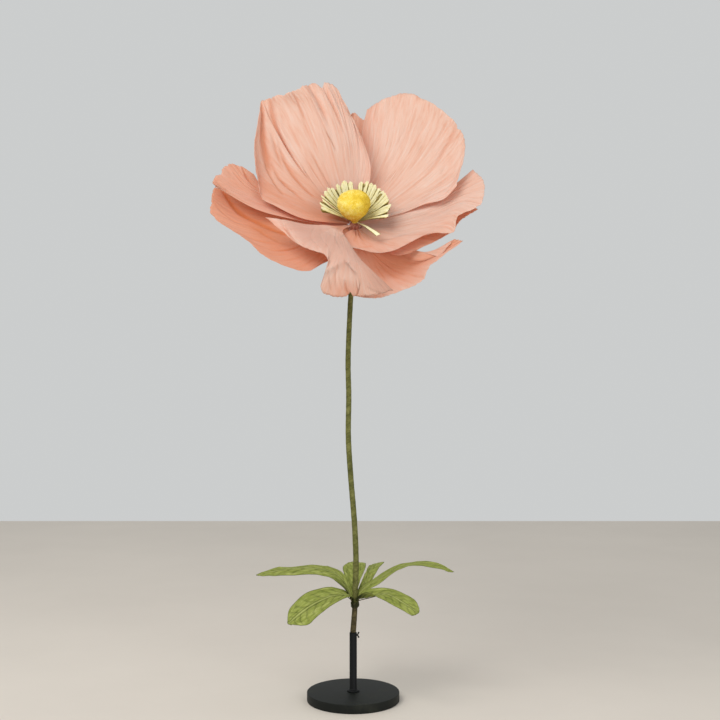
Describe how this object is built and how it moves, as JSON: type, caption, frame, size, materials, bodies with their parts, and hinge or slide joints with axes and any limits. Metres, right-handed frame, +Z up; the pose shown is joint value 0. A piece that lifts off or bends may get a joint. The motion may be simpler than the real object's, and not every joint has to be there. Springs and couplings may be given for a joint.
{
  "type": "giant paper flower",
  "caption": "Freestanding giant paper poppy: peach crepe petals round a yellow heart, a slim wrapped stem with paper leaves, and a round black weighted base.",
  "frame": {"origin": "centre of the base disc's underside, on the floor", "axes": "+Z up along the stem, the bloom faces -Y, +X to the right seen from the front"},
  "size_m": [0.6377, 0.4078, 1.4828],
  "materials": {
    "petal_paper": "matte crepe",
    "stamen_paper": "matte crepe",
    "pistil_paper": "crumpled, matte",
    "leaf_paper": "matte crepe",
    "olive_tape": "wound tape",
    "brown_tape": "wound tape",
    "wire_wrap": "matte",
    "hub_core": "plain",
    "rod_steel": "plain",
    "base_paint": "satin black",
    "screw_black": "satin black"
  },
  "bodies": {
    "root": {"base_plate": "base_paint", "stem_socket": "base_paint", "wing_screw": "screw_black", "stem_rod": "rod_steel", "stem_wrap_lower": "brown_tape", "stem_wrap_upper": "olive_tape", "leaf_sleeve": "olive_tape", "leaf_left": "leaf_paper", "leaf_wire_left": "wire_wrap", "leaf_front_left": "leaf_paper", "leaf_wire_front_left": "wire_wrap", "leaf_back": "leaf_paper", "leaf_wire_back": "wire_wrap", "leaf_back_right": "leaf_paper", "leaf_wire_back_right": "wire_wrap", "leaf_right": "leaf_paper", "leaf_wire_right": "wire_wrap", "leaf_front_right": "leaf_paper", "leaf_wire_front_right": "wire_wrap", "bloom_hub": "hub_core", "bloom_binding": "olive_tape", "petal_back_left": "petal_paper", "petal_back_right": "petal_paper", "petal_right": "petal_paper", "petal_left": "petal_paper", "petal_front_left": "petal_paper", "petal_front": "petal_paper", "petal_front_right": "petal_paper", "petal_right_outer": "petal_paper", "petal_back_outer": "petal_paper", "pistil": "pistil_paper", "stamen_fringe_right": "stamen_paper", "stamen_fringe_left": "stamen_paper", "stamen_strip_loose": "stamen_paper"}
  },
  "joints": []
}
